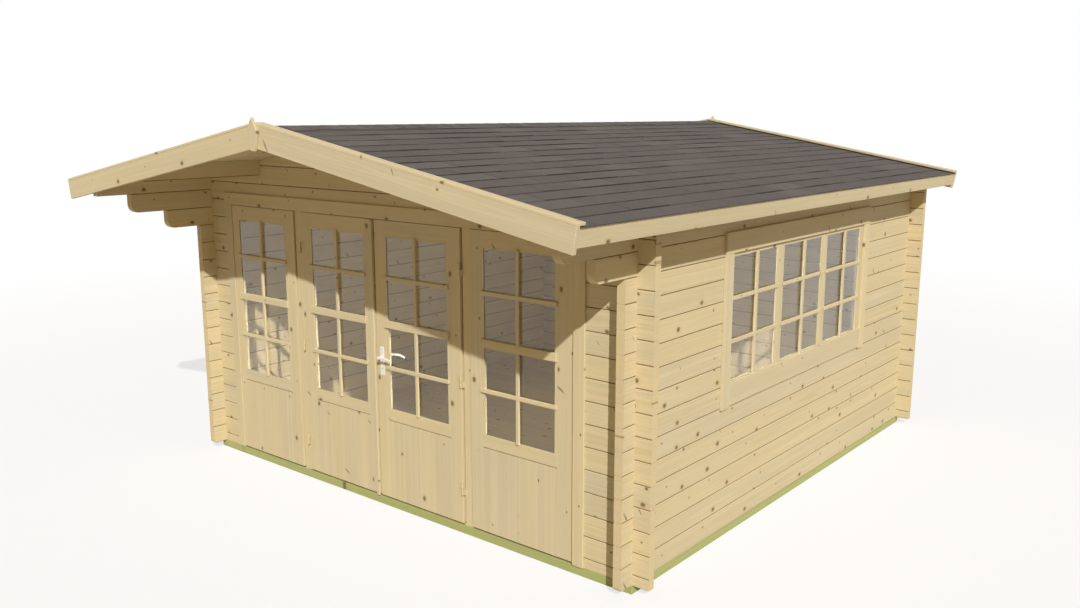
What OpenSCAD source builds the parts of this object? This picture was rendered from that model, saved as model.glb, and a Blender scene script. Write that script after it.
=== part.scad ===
// Log cabin with a glazed double door, two sidelights, one three-sash window and a felted gable roof.
// Origin: centre of the roof's plan, at ground level. +X right, +Y to the back, +Z up. Millimetres.

/* [House] */
// Width over the outer faces of the side walls
house_w = 4012; // [3900:1:4200]
// Depth over the outer faces of the front and rear walls
house_d = 4116; // [4000:1:4300]
// Log thickness
wall_t = 54; // [50:1:60]
// Height of one log course
course = 135; // [132:1:138]
// Length of the log ends beyond the crossings
log_end = 110; // [90:1:130]
// Height of the foundation bearers
beam_h = 54; // [45:1:60]
// Chamfer along each log edge
log_chamfer = 5; // [3:0.5:7]

/* [Roof] */
// Roof pitch in degrees
pitch = 10.15; // [9.5:0.05:11]
// Height of the roof boards' underside at the ridge
ridge_z = 2557; // [2540:1:2580]
// Overhang of the front verge
front_overhang = 928; // [900:1:1000]
// Overhang of the rear verge
rear_overhang = 116; // [80:1:200]
// Overhang of the eaves, measured level
eave_overhang = 294; // [270:1:310]
// Thickness of the roof boards
board_t = 18; // [16:1:20]
// Thickness of the shingle layer
shingle_t = 8; // [6:1:10]

/* [Front door set] */
// Centre of the door set from the house's centre line
door_x = -77; // [-90:1:-50]
// Outer edge of the left casing board from the centre of the door set
casing_left = 1691; // [1685:1:1700]
// Outer edge of the right casing board from the centre of the door set
casing_right = 1747; // [1740:1:1755]
// Width of the side and head casing boards
casing_w = 80; // [75:1:95]
// Thickness of the casing boards
casing_t = 14; // [12:1:22]
// Thickness of door leaves and sidelights
leaf_t = 42; // [40:1:44]
// Gap around the moving leaves
leaf_gap = 6; // [5:1:7]
// Bottom edge of leaves and sidelights
leaf_z0 = 68; // [66:1:72]
// Top edge of leaves and sidelights
leaf_z1 = 1972; // [1965:1:1972]
// Lower edge of the glazing
glass_z0 = 706; // [700:1:730]
// Upper edge of the glazing
glass_z1 = 1865; // [1850:1:1870]
// Width of the glazing of each leaf and sidelight
glass_w = 548; // [540:1:556]
// Width of the posts between leaves and sidelights
post_w = 75; // [70:1:80]

/* [Side window] */
// Centre of the side window behind the front wall's outer face
window_y = 2041; // [2030:1:2050]
// Width of the window opening
window_w = 2110; // [2100:1:2120]
// Width of each glazed pane field
sash_glass_w = 580; // [570:1:585]
// Width of the stiles that stand together between two pane fields
mullion_w = 105; // [98:1:108]

/* [Hidden] */

$fn = 48;
eps = 0.5;                       // clearance between pieces that are built side by side
seat = 0.1;                      // clearance under pieces that are screwed on
big = 6000;                      // larger than the house, for cutting shapes

half_w = house_w / 2;
roof_d = front_overhang + house_d + rear_overhang;
front_y = -roof_d / 2 + front_overhang;   // outer face of the front wall
rear_y = front_y + house_d;               // outer face of the rear wall
verge_y = roof_d / 2;                     // outer face of both verges, front and rear
barge_t = 26;
inner_y = verge_y - barge_t - 1;          // ends of the boards and purlins, behind the barge boards
eave_s = (half_w + eave_overhang) / cos(pitch);   // length of one roof slope

side_courses = 16;               // side walls: whole logs, the last one cut by the roof
door_top_course = 14;            // front wall: a half log and this many whole logs beside the doors
gable_courses = 18;              // front and rear walls: logs up to the ridge
window_low_course = 7;           // the side window stands on this many courses
corbel_course = 13;              // lowest of the stepped logs under the front overhang

corbel_low = 378;                // reach of the lowest stepped log in front of the wall
corbel_mid = 655;                // reach of the middle stepped log
corbel_r = 58;                   // rounding of their lower front corners
log_end_r = 22;                  // rounding under the lowest log ends

opening_left = casing_left - 33; // the casing covers the ends of the logs by 33
opening_right = casing_right - 33;
leaf_outer = 780;                // outer edge of each leaf from the centre of the door set
meeting_left = -12;              // edge of the left leaf where the leaves meet
meeting_right = 2;               // edge of the right leaf
sidelight_in = leaf_outer + leaf_gap + post_w;    // inner edge of each sidelight
jamb_w = 38;                     // outer jambs, beside the sidelights
post_in = 10;                    // the posts stand this far behind the faces of leaves and sidelights
leaf_glass_c = 388;              // centre of a leaf's glazing
sidelight_glass_c = 1252;        // centre of a sidelight's glazing
hinge_y = -9;                    // hinge axis in front of the wall's face
hinge_r = 7;
hinge_zs = [300, 1010, 1720];
hinge_half = 39;                 // length of half a knuckle
door_head_z = leaf_z1 + leaf_gap;
threshold_y = 25;                // the threshold lies behind the front of the leaves
threshold_h = 8;
door_pane_in = 3;                // the panes lie this far behind the faces of leaves and sidelights
window_pane_in = 3;              // and this far behind the faces of the window sashes
pane_t = 6;
astragal_t = 14;
astragal_w = 24;
plate_x = 50;                    // centre of the handle plates from the centre of the door set
plate_z = 1025;                  // middle of the handle plates
lever_z = 1053;                  // height of the lever's axis
spindle_r = 8;
spindle_hole_r = 11;
lever_stand = 44;                // gap between the leaf and the lever for the hand

window_z0 = beam_h + window_low_course * course;
window_z1 = beam_h + (corbel_course + 1) * course;
sash_z0 = window_z0 + 3;
sash_z1 = 1858;
sash_glass_z0 = 1018;
sash_glass_z1 = 1800;
sash_pitch = sash_glass_w + mullion_w;
sash_shift = -19;                // the pane fields sit this far in front of the opening's middle
window_jamb = 30;
window_side_casing = 90;
window_casing_t = 20;
window_head_casing = 130;
window_sill_casing = 148;        // board under the window
window_casing_half = 1116;

barge_top = 31.5;                // above the underside of the roof boards, square to the slope
barge_depth = 129.5;
cap_w = 64;                      // strip on top of the barge boards and the roof's edge
cap_t = 15.5;
cap_n = barge_top + eps;         // its underside above the underside of the roof boards
drip = 8;                        // the shingles reach this far past the fascia
fascia_t = 19;
fascia_low = 71.5;               // the fascia reaches this far below the roof boards
fascia_top = board_t + 5;        // and covers the ends of the boards and of the shingles' lower layer
purlin_w = 56;
ridge_purlin_z = 2429;           // undersides of the purlins
side_purlin_z = 2211;
side_purlin_x = 1336;
finial_t = 18;
finial_half = 52;
finial_zs = [2442, 2545, 2632];  // foot, widest place and top of the ridge plates
finial_foot_half = 18;

spruce = [0.86, 0.75, 0.55];
spruce_warm = [0.80, 0.68, 0.47];
green_wood = [0.66, 0.67, 0.46];
felt = [0.40, 0.37, 0.36];
pane = [0.62, 0.66, 0.66, 0.4];
steel = [0.75, 0.75, 0.74];
white = [0.93, 0.92, 0.90];

function joint_z(k) = beam_h + k * course;
function roof_z(x) = ridge_z - abs(x) * tan(pitch);

// Heights of the log joints from course number a to course number b, one course apart
function joints(a, b) = [for (k = [a : 1 : b]) joint_z(k)];

// Outline of a stack of logs: thickness along x, height along y, a chamfer at every joint
function stack_outline(zs) = let (n = len(zs), c = log_chamfer) concat(
  [for (i = [0 : n - 2]) each [
    [wall_t - c, zs[i]], [wall_t, zs[i] + c], [wall_t, zs[i + 1] - c], [wall_t - c, zs[i + 1]]]],
  [for (i = [n - 2 : -1 : 0]) each [
    [c, zs[i + 1]], [0, zs[i + 1] - c], [0, zs[i] + c], [c, zs[i]]]]);

// Wall along X, from x0 to x1, outer or inner face at y0
module wall_x(x0, x1, y0, zs)
  translate([x0, y0, 0]) rotate([90, 0, 90]) linear_extrude(x1 - x0) polygon(stack_outline(zs));

// Wall along Y, from y0 to y1, face at x0
module wall_y(y0, y1, x0, zs)
  translate([x0, y1, 0]) rotate([90, 0, 0]) linear_extrude(y1 - y0) polygon(stack_outline(zs));

module box(x0, x1, y0, y1, z0, z1)
  translate([x0, y0, z0]) cube([x1 - x0, y1 - y0, z1 - z0]);

// Everything below the roof boards, lowered by drop
module under_roof(drop)
  translate([0, big / 2, 0]) rotate([90, 0, 0]) linear_extrude(big)
    polygon([[-big / 2, 0], [big / 2, 0], [big / 2, roof_z(big / 2) - drop],
             [0, ridge_z - drop], [-big / 2, roof_z(big / 2) - drop]]);

// Notches in a wall along X where the side logs pass: side log k fills the gap above front log k
module side_log_notches(k0, k1)
  for (sx = [-1, 1], k = [k0 : k1])
    translate([sx * (half_w - wall_t / 2), 0, joint_z(k + 0.5)])
      cube([wall_t + 2 * eps, big, course / 2 + 2 * eps], center = true);

// Notches in a wall along Y where the front and rear logs pass
module cross_log_notches(k0, k1)
  for (y = [front_y + wall_t / 2, rear_y - wall_t / 2], k = [k0 : k1])
    translate([0, y, joint_z(k)])
      cube([big, wall_t + 2 * eps, course / 2 + 2 * eps], center = true);

// Top of the crossings, where the eaves log runs on up to the roof
module eaves_log_notch()
  for (sx = [-1, 1])
    translate([sx * (half_w - wall_t / 2), 0, joint_z(side_courses - 0.75) - eps + course])
      cube([wall_t + 2 * eps, big, 2 * course], center = true);

// Ridge and side purlins, or with grow the pockets for them in the gables
module purlin_shapes(grow) {
  half = purlin_w / 2 + grow;
  intersection() {
    for (x = [0, -side_purlin_x, side_purlin_x])
      box(x - half, x + half, -inner_y, inner_y, (x == 0 ? ridge_purlin_z : side_purlin_z) - grow, ridge_z);
    under_roof(1 - 2 * grow);
  }
}

// A board on one roof slope: s along the slope from the ridge, n square to it
module slope_board(sx, s1, y0, y1, n0, n1)
  mirror([sx < 0 ? 1 : 0, 0, 0])
    intersection() {
      translate([0, 0, ridge_z]) rotate([0, pitch, 0]) translate([-cap_w, y0, n0])
        cube([cap_w + s1, y1 - y0, n1 - n0]);
      translate([eps, -big / 2, 0]) cube([big, big, big]);
    }

// Wedge that rounds the lower corner of a log end pointing to -Y
module lower_corner_cut(y, z, r)
  translate([-big / 2, y, z]) rotate([90, 0, 90]) linear_extrude(big)
    difference() {
      translate([-1, -1]) square(r + 1);
      translate([r, r]) circle(r);
    }

module side_log(sx, y0, y1, k)
  wall_y(y0, y1, sx > 0 ? half_w - wall_t : -half_w, [joint_z(k), joint_z(k + 1)]);

// ---- Ground and floor ----
module foundation_beams() color(green_wood) {
  beam_w = 70;
  joist_w = 44;
  joists = 6;
  joist_pitch = (house_w - 2 * beam_w) / (joists + 1);
  box(-half_w, half_w, front_y, front_y + beam_w, 0, beam_h);
  box(-half_w, half_w, rear_y - beam_w, rear_y, 0, beam_h);
  for (sx = [-1, 1]) mirror([sx < 0 ? 1 : 0, 0, 0])
    box(half_w - beam_w, half_w, front_y + beam_w + eps, rear_y - beam_w - eps, 0, beam_h);
  for (i = [1 : joists])
    translate([-half_w + beam_w + i * joist_pitch, 0, 0])
      box(-joist_w / 2, joist_w / 2, front_y + beam_w + eps, rear_y - beam_w - eps, 0, beam_h);
}

module floor() color(spruce_warm) {
  floor_t = 19;
  inset = wall_t + 3;
  box(-half_w + inset, half_w - inset, front_y + inset, rear_y - inset, beam_h, beam_h + floor_t);
}

// ---- Walls ----
module front_wall_part(x0, x1) color(spruce)
  difference() {
    wall_x(x0, x1, front_y, concat([beam_h], joints(0.5, door_top_course + 0.5)));
    side_log_notches(0, door_top_course);
  }
module front_wall_left() front_wall_part(-half_w - log_end, door_x - opening_left);
module front_wall_right() front_wall_part(door_x + opening_right, half_w + log_end);

module gable_part(y0, zs, k0) color(spruce)
  difference() {
    intersection() {
      wall_x(-half_w - log_end, half_w + log_end, y0, zs);
      under_roof(1);
    }
    side_log_notches(k0, side_courses - 2);
    eaves_log_notch();
    purlin_shapes(1);
  }
module front_gable() gable_part(front_y, joints(door_top_course + 0.5, gable_courses + 0.5), door_top_course);
module rear_wall() gable_part(rear_y - wall_t, concat([beam_h], joints(0.5, gable_courses + 0.5)), 0);

module left_wall() color(spruce)
  difference() {
    wall_y(front_y - log_end, rear_y + log_end, -half_w, joints(0, corbel_course));
    cross_log_notches(0, corbel_course);
    lower_corner_cut(front_y - log_end, beam_h, log_end_r);
  }

// One stepped log: reaches out in front of the wall by reach
module corbel_log(sx, reach, y1, k) color(spruce)
  difference() {
    side_log(sx, front_y - reach, y1, k);
    cross_log_notches(k, k + 1);
    lower_corner_cut(front_y - reach, joint_z(k), corbel_r);
  }
module left_corbel_log_low() corbel_log(-1, corbel_low, rear_y + log_end, corbel_course);
module left_corbel_log_mid() corbel_log(-1, corbel_mid, rear_y + log_end, corbel_course + 1);
module right_corbel_log_mid() corbel_log(1, corbel_mid, rear_y + log_end, corbel_course + 1);

module eaves_log(sx) color(spruce)
  difference() {
    intersection() {
      side_log(sx, -inner_y, inner_y, side_courses - 1);
      under_roof(1);
    }
    cross_log_notches(side_courses - 1, side_courses - 1);
  }
module left_eaves_log() eaves_log(-1);
module right_eaves_log() eaves_log(1);

module right_wall_lower() color(spruce)
  difference() {
    wall_y(front_y - log_end, rear_y + log_end, half_w - wall_t, joints(0, window_low_course));
    cross_log_notches(0, window_low_course);
    lower_corner_cut(front_y - log_end, beam_h, log_end_r);
  }

module right_wall_front() color(spruce)
  difference() {
    wall_y(front_y - log_end, front_y + window_y - window_w / 2, half_w - wall_t,
           joints(window_low_course, corbel_course));
    cross_log_notches(window_low_course, corbel_course);
  }

module right_wall_rear() color(spruce)
  difference() {
    wall_y(front_y + window_y + window_w / 2, rear_y + log_end, half_w - wall_t,
           joints(window_low_course, corbel_course + 1));
    cross_log_notches(window_low_course, corbel_course + 1);
  }

module right_corbel_log_low() corbel_log(1, corbel_low, front_y + window_y - window_w / 2, corbel_course);

// ---- Roof ----
module purlins() color(spruce_warm) purlin_shapes(0);

module roof_boards(sx) color(spruce_warm)
  slope_board(sx, eave_s - fascia_t - 1, -inner_y, inner_y, 0, board_t);
module roof_boards_left() roof_boards(-1);
module roof_boards_right() roof_boards(1);

// The lower layer ends behind the fascia, and the top layer reaches over it
module shingles(sx) color(felt) {
  top_n = board_t + eps + shingle_t;
  slope_board(sx, eave_s - fascia_t - 1, -inner_y, inner_y, board_t + eps, top_n);
  slope_board(sx, eave_s + drip, -inner_y, inner_y, fascia_top + eps, top_n);
}
module shingles_left() shingles(-1);
module shingles_right() shingles(1);

module barge_boards() color(spruce)
  for (sx = [-1, 1], y0 = [-verge_y, verge_y - barge_t])
    slope_board(sx, eave_s + drip / 2, y0, y0 + barge_t, barge_top - barge_depth, barge_top);

module barge_caps() color(spruce)
  for (sx = [-1, 1], y0 = [-verge_y, verge_y - cap_w])
    slope_board(sx, eave_s + drip / 2, y0, y0 + cap_w, cap_n, cap_n + cap_t);

module eave_fascias() color(spruce)
  for (sx = [-1, 1])
    intersection() {
      slope_board(sx, eave_s, -inner_y, inner_y, -fascia_low, fascia_top);
      mirror([sx < 0 ? 1 : 0, 0, 0])
        translate([0, 0, ridge_z]) rotate([0, pitch, 0])
          translate([eave_s - fascia_t, -big / 2, -big / 2]) cube([fascia_t, big, big]);
    }

module finials() color(spruce)
  for (y0 = [-verge_y - finial_t - eps, verge_y + eps])
    translate([0, y0 + finial_t, 0]) rotate([90, 0, 0]) linear_extrude(finial_t)
      polygon([[0, finial_zs[2]], [finial_half, finial_zs[1]], [finial_foot_half, finial_zs[0]],
               [-finial_foot_half, finial_zs[0]], [-finial_half, finial_zs[1]]]);

// ---- Front door set, placed from its own centre line on the front wall's face ----
module at_door() translate([door_x, front_y, 0]) children();

// One post or jamb between x0 and x1: it stands on the bearer in front and on the threshold behind
module door_post(x0, x1, y0) {
  box(x0, x1, y0, threshold_y - 1, beam_h + eps, door_head_z);
  box(x0, x1, y0, wall_t, beam_h + threshold_h + eps, door_head_z);
}

module door_frame() color(spruce) at_door() {
  for (sx = [-1, 1]) mirror([sx < 0 ? 1 : 0, 0, 0])
    door_post(leaf_outer + leaf_gap, sidelight_in - 1, post_in);
  door_post(-opening_left + 1, -opening_left + jamb_w - 1, 0);
  door_post(opening_right - jamb_w + 1, opening_right - 1, 0);
  box(-opening_left + 1, opening_right - 1, 0, wall_t, door_head_z + 1, joint_z(door_top_course + 0.5) - 1);
  box(-opening_left + 1, opening_right - 1, threshold_y, wall_t, beam_h, beam_h + threshold_h);
}

module door_casing() color(spruce) at_door() {
  for (x0 = [-casing_left, casing_right - casing_w])
    box(x0, x0 + casing_w, -casing_t, 0, beam_h + 4, door_head_z - 1);
  box(-casing_left, casing_right, -casing_t, 0, door_head_z, door_head_z + casing_w + 10);
}

// A leaf or sidelight: stiles and rails around the glazing, and a plain panel below a fine groove
module glazed_leaf(x0, x1, glass_c) {
  groove = 4;
  groove_past = 12;              // the groove runs this far past the glazing on both sides
  rail_z = 618;
  panel_x0 = glass_c - glass_w / 2 - groove_past;
  panel_x1 = glass_c + glass_w / 2 + groove_past;
  difference() {
    box(x0, x1, 0, leaf_t, leaf_z0, leaf_z1);
    box(glass_c - glass_w / 2, glass_c + glass_w / 2, -1, leaf_t + 1, glass_z0, glass_z1);
    box(panel_x0, panel_x1, -1, groove, rail_z, rail_z + groove);
    box(panel_x0, panel_x1, leaf_t - groove, leaf_t + 1, rail_z, rail_z + groove);
  }
}
module leaf_glass(glass_c)
  box(glass_c - glass_w / 2, glass_c + glass_w / 2, door_pane_in, door_pane_in + pane_t, glass_z0, glass_z1);

module sidelight_left() color(spruce) at_door()
  glazed_leaf(-opening_left + jamb_w, -sidelight_in, -sidelight_glass_c);
module sidelight_right() color(spruce) at_door()
  glazed_leaf(sidelight_in, opening_right - jamb_w, sidelight_glass_c);
module sidelight_glass() color(pane) at_door()
  for (sx = [-1, 1]) leaf_glass(sx * sidelight_glass_c);

module left_leaf() color(spruce) at_door()
  glazed_leaf(-leaf_outer, meeting_left, -leaf_glass_c);
module left_leaf_glass() color(pane) at_door() leaf_glass(-leaf_glass_c);
module right_leaf() color(spruce) at_door()
  difference() {
    glazed_leaf(meeting_right, leaf_outer, leaf_glass_c);
    translate([plate_x, -1, lever_z]) rotate([-90, 0, 0]) cylinder(h = leaf_t + 2, r = spindle_hole_r);
  }
module right_leaf_glass() color(pane) at_door() leaf_glass(leaf_glass_c);

module door_astragal() color(spruce) at_door()
  box(meeting_left - astragal_w, meeting_left, -astragal_t, -seat, beam_h + 6, leaf_z1 - 2);

// Half a lift-off hinge: knuckle on the axis and a flag on the leaf (upper) or on the post (lower),
// thick enough there to reach the post behind the leaf's face
module half_hinge(sx, upper)
  for (z = hinge_zs)
    translate([sx * (leaf_outer + leaf_gap / 2), hinge_y, z + (upper ? 1 : -hinge_half)]) {
      cylinder(h = hinge_half - 1, r = hinge_r);
      flag_w = upper ? 36 : 15;
      flag_front = -hinge_y - 3 - seat;
      flag_back = -hinge_y - seat + (upper ? 0 : post_in);
      flag_x = upper ? 0 : leaf_gap / 2;
      flag_sx = upper ? -sx : sx;
      translate([flag_sx > 0 ? 0 : -flag_w, flag_front, 0]) cube([flag_w, 3, hinge_half - 1]);
      translate([flag_sx > 0 ? flag_x : -flag_w, flag_front, 0])
        cube([flag_w - flag_x, flag_back - flag_front, hinge_half - 1]);
    }
module door_hinge_posts() color(steel) at_door() for (sx = [-1, 1]) half_hinge(sx, false);
module left_leaf_hinges() color(steel) at_door() half_hinge(-1, true);
module right_leaf_hinges() color(steel) at_door() half_hinge(1, true);

// Long plates on both faces of the active leaf
module door_plates() color(white) at_door() {
  plate_t = 5;
  plate_w = 38;
  plate_h = 200;
  keyhole_z = -50;
  keyhole_r = 5;
  for (y = [-plate_t - seat, leaf_t + seat])
    translate([plate_x, y + plate_t, plate_z]) rotate([90, 0, 0]) linear_extrude(plate_t)
      difference() {
        union() {
          square([plate_w, plate_h - plate_w], center = true);
          for (sz = [-1, 1]) translate([0, sz * (plate_h - plate_w) / 2]) circle(plate_w / 2);
        }
        translate([0, lever_z - plate_z]) circle(spindle_hole_r);
        translate([0, keyhole_z]) circle(keyhole_r);
      }
}

// Spindle through the active leaf
module door_spindle() color(white) at_door()
  translate([plate_x, -lever_stand, lever_z]) rotate([-90, 0, 0])
    cylinder(h = leaf_t + 2 * lever_stand, r = spindle_r);

// Outer and inner lever, on the ends of the spindle
module door_levers() color(white) at_door() {
  lever_t = 13;
  lever_l = 122;
  lever_r = 9;
  boss_r = 11;
  for (y = [-lever_stand, leaf_t + lever_stand + lever_t])
    translate([plate_x, y, lever_z]) rotate([90, 0, 0]) linear_extrude(lever_t) {
      circle(boss_r);
      translate([0, -lever_r]) square([lever_l, 2 * lever_r]);
      translate([lever_l, 0]) circle(lever_r);
    }
}

// ---- Side window, placed on the right wall ----
module at_window() translate([half_w, front_y + window_y, 0]) children();

module window_frame() color(spruce) at_window() {
  for (sy = [-1, 1])
    translate([-wall_t, sy * (window_w / 2 - 1 - window_jamb / 2) - window_jamb / 2, sash_z0])
      cube([wall_t, window_jamb, sash_z1 - sash_z0]);
  box(-wall_t, 0, -window_w / 2 + 1, window_w / 2 - 1, window_z0 + 1, sash_z0 - 1);
  box(-wall_t, 0, -window_w / 2 + 1, window_w / 2 - 1, sash_z1 + 1, window_z1 - 1);
}

// Middle of pane field i, and the edges of its sash: the outer sashes reach to the jambs
function field_y(i) = i * sash_pitch + sash_shift;
function sash_edge(i) = abs(i) > 1 ? sign(i) * (window_w / 2 - 1 - window_jamb) : i * sash_pitch + sash_shift;

module window_sashes() color(spruce) at_window()
  for (i = [-1, 0, 1])
    difference() {
      box(-leaf_t, 0, sash_edge(i - 0.5) + eps, sash_edge(i + 0.5) - eps, sash_z0, sash_z1);
      box(-leaf_t - 1, 1, field_y(i) - sash_glass_w / 2, field_y(i) + sash_glass_w / 2,
          sash_glass_z0, sash_glass_z1);
    }

module window_glass() color(pane) at_window()
  for (i = [-1, 0, 1])
    box(-window_pane_in - pane_t, -window_pane_in, field_y(i) - sash_glass_w / 2,
        field_y(i) + sash_glass_w / 2, sash_glass_z0, sash_glass_z1);

module window_casing() color(spruce) at_window() {
  head_z = 1827;
  sill_z = 1016;
  foot_z = sill_z - window_sill_casing - 14;
  for (sy = [-1, 1])
    translate([0, sy * (window_casing_half - window_side_casing / 2) - window_side_casing / 2, foot_z])
      cube([window_casing_t, window_side_casing, head_z - 1 - foot_z]);
  box(0, window_casing_t, -window_casing_half, window_casing_half, head_z, head_z + window_head_casing);
  box(0, window_casing_t, -window_casing_half + window_side_casing + 1, window_casing_half - window_side_casing - 1,
      sill_z - window_sill_casing, sill_z);
}

foundation_beams();
floor();
front_wall_left();
front_wall_right();
front_gable();
rear_wall();
left_wall();
left_corbel_log_low();
left_corbel_log_mid();
left_eaves_log();
right_wall_lower();
right_wall_front();
right_wall_rear();
right_corbel_log_low();
right_corbel_log_mid();
right_eaves_log();
purlins();
roof_boards_left();
roof_boards_right();
shingles_left();
shingles_right();
barge_boards();
barge_caps();
eave_fascias();
finials();
door_frame();
door_casing();
door_hinge_posts();
sidelight_left();
sidelight_right();
sidelight_glass();
window_frame();
window_sashes();
window_glass();
window_casing();
left_leaf();
left_leaf_glass();
left_leaf_hinges();
right_leaf();
right_leaf_glass();
right_leaf_hinges();
door_astragal();
door_plates();
door_spindle();
door_levers();
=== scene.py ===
import math

import bpy
import numpy as np
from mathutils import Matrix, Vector


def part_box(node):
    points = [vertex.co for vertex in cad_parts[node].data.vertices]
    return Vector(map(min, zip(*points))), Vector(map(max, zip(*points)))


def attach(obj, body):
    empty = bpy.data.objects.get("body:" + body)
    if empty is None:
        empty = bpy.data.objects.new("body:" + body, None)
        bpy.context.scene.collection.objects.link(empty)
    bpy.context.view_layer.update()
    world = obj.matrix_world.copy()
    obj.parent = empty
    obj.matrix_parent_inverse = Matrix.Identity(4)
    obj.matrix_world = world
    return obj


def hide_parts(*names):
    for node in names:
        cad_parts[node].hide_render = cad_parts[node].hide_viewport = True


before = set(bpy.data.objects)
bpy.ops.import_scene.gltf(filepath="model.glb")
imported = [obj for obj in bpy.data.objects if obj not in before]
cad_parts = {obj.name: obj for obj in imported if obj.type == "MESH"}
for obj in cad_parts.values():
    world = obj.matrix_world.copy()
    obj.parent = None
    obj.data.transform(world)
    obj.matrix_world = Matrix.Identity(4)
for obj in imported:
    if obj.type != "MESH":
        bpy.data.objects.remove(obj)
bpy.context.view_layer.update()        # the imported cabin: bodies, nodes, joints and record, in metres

rng = np.random.default_rng(1907)

house = {
    "pitch": math.radians(10.15),
    "ridgeZ": 2.557,                  # underside of the roof boards at the ridge
    "course": 0.135,
    "bearerTop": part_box("foundation_beams")[1].z,
    "frontY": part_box("front_wall_left")[0].y,
    "rearEnd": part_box("rear_wall")[1].y,
    "sideX": -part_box("left_wall")[0].x,
    "wall": 0.054,
    "vergeY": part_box("barge_boards")[1].y,
}
slopeCos, slopeSin, slopeTan = [f(house["pitch"]) for f in (math.cos, math.sin, math.tan)]


# A board with planed edges. Each of its 8 corners splits into 3 points, one on each face it touches:
# point = low + corner * (high - low) + bevel towards the middle along the two other axes.
boardCorner = np.repeat(np.array([[i, j, k] for k in (0, 1) for j in (0, 1) for i in (0, 1)]), 3, axis=0)
boardInset = np.tile(1 - np.eye(3, dtype=int), (8, 1))


def boardFaces():
    def at(axis, values, side):       # number of the point of one corner that lies on the face across axis
        spot = [0, 0, 0]
        for a, v in values.items():
            spot[a] = v
        return 3 * (spot[0] + 2 * spot[1] + 4 * spot[2]) + side

    found = []
    for a in range(3):
        b, d = (a + 1) % 3, (a + 2) % 3
        for s in (0, 1):
            found.append([at(a, {a: s, b: i, d: j}, a) for i, j in ((0, 0), (1, 0), (1, 1), (0, 1))])
        for i in (0, 1):
            for j in (0, 1):
                found.append([at(a, {a: 0, b: i, d: j}, b), at(a, {a: 1, b: i, d: j}, b),
                              at(a, {a: 1, b: i, d: j}, d), at(a, {a: 0, b: i, d: j}, d)])
    found += [[3 * c, 3 * c + 1, 3 * c + 2] for c in range(8)]
    where = boardCorner * 1.0 + boardInset * 0.1 * (1 - 2 * boardCorner) - 0.5
    out = []
    for face in found:                # wind each face so that it looks away from the middle
        p = where[face]
        away = np.dot(np.cross(p[1] - p[0], p[2] - p[0]), p.mean(0))
        out.append(face if away > 0 else face[::-1])
    return out


boardFace = boardFaces()


def volumeOf(points, faces):
    # signed volume: a sixth of the sum of p0 . (p1 x p2) over the fan of every face
    total = 0.0
    for size in {len(f) for f in faces}:
        f = np.array([g for g in faces if len(g) == size])
        for k in range(1, size - 1):
            a, b, c = points[f[:, 0]], points[f[:, k]], points[f[:, k + 1]]
            total += np.einsum("ij,ij->", a, np.cross(b, c))
    return total / 6


def part(points, faces, grain, tone):
    # faces are turned over where a mirrored place has turned the shape inside out
    if volumeOf(points, faces) < 0:
        faces = [f[::-1] for f in faces]
    return {"points": points, "faces": faces, "grain": grain, "tone": tone}


def planks(rows, bevel=0.0015, place=None, shape=None):
    # rows: x0, x1, y0, y1, z0, z1 and the axis that the grain runs along; place carries local points to
    # the cabin; shape bends the local points of each board first. The grain of a point is its distance
    # from the middle of its board along, across and through it, pushed along by a chance length.
    rows = np.array(rows, float)
    low, high, axis = rows[:, None, 0:6:2], rows[:, None, 1:6:2], rows[:, 6].astype(int)
    size = (high - low)[:, 0]
    points = low + boardCorner * (high - low) + boardInset * bevel * (1 - 2 * boardCorner)
    others = np.array([[b for b in range(3) if b != a] for a in axis])
    wide = np.take_along_axis(size, others, 1).argmax(1)
    order = np.stack([axis, others[np.arange(len(axis)), wide], others[np.arange(len(axis)), 1 - wide]], 1)
    grain = np.take_along_axis(points - (low + high) / 2, np.repeat(order[:, None], 24, 1), 2)
    chance = rng.random((len(rows), 2))
    grain[:, :, 0] += 3 + 50 * chance[:, :1]
    if shape:
        points = shape(points, low, high)
    points = points.reshape(-1, 3)
    if place:
        points = place(points)
    faces = [[24 * n + i for i in face] for n in range(len(rows)) for face in boardFace]
    return part(points, faces, grain.reshape(-1, 3), np.repeat(chance[:, 1], 24))


def lofted(rings, grainAxis=2):
    # rings: (count, points round, 3). Neighbouring rings are joined by four-sided faces, and the first
    # and last ring are closed by one flat face each.
    count, round_, _ = rings.shape
    k = np.arange(round_)
    ahead = (k + 1) % round_
    faces = []
    for r in range(count - 1):
        faces += np.stack([r * round_ + k, r * round_ + ahead,
                           (r + 1) * round_ + ahead, (r + 1) * round_ + k], 1).tolist()
    faces += [k[::-1].tolist(), ((count - 1) * round_ + k).tolist()]
    points = rings.reshape(-1, 3)
    order = [grainAxis] + [a for a in range(3) if a != grainAxis]
    grain = (points - points.mean(0))[:, order] + [3 + 50 * rng.random(), 0, 0]
    return part(points, faces, grain, np.full(len(points), rng.random()))


def closedLoop(rings):
    # rings joined as in lofted, with the last one joined to the first, for collars and rims
    count, round_, _ = rings.shape
    r, k = np.meshgrid(np.arange(count), np.arange(round_), indexing="ij")
    up, ahead = (r + 1) % count, (k + 1) % round_
    faces = np.stack([r * round_ + k, r * round_ + ahead, up * round_ + ahead, up * round_ + k], -1)
    points = rings.reshape(-1, 3)
    return part(points, faces.reshape(-1, 4).tolist(), points.copy(), np.full(len(points), 0.5))


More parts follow.
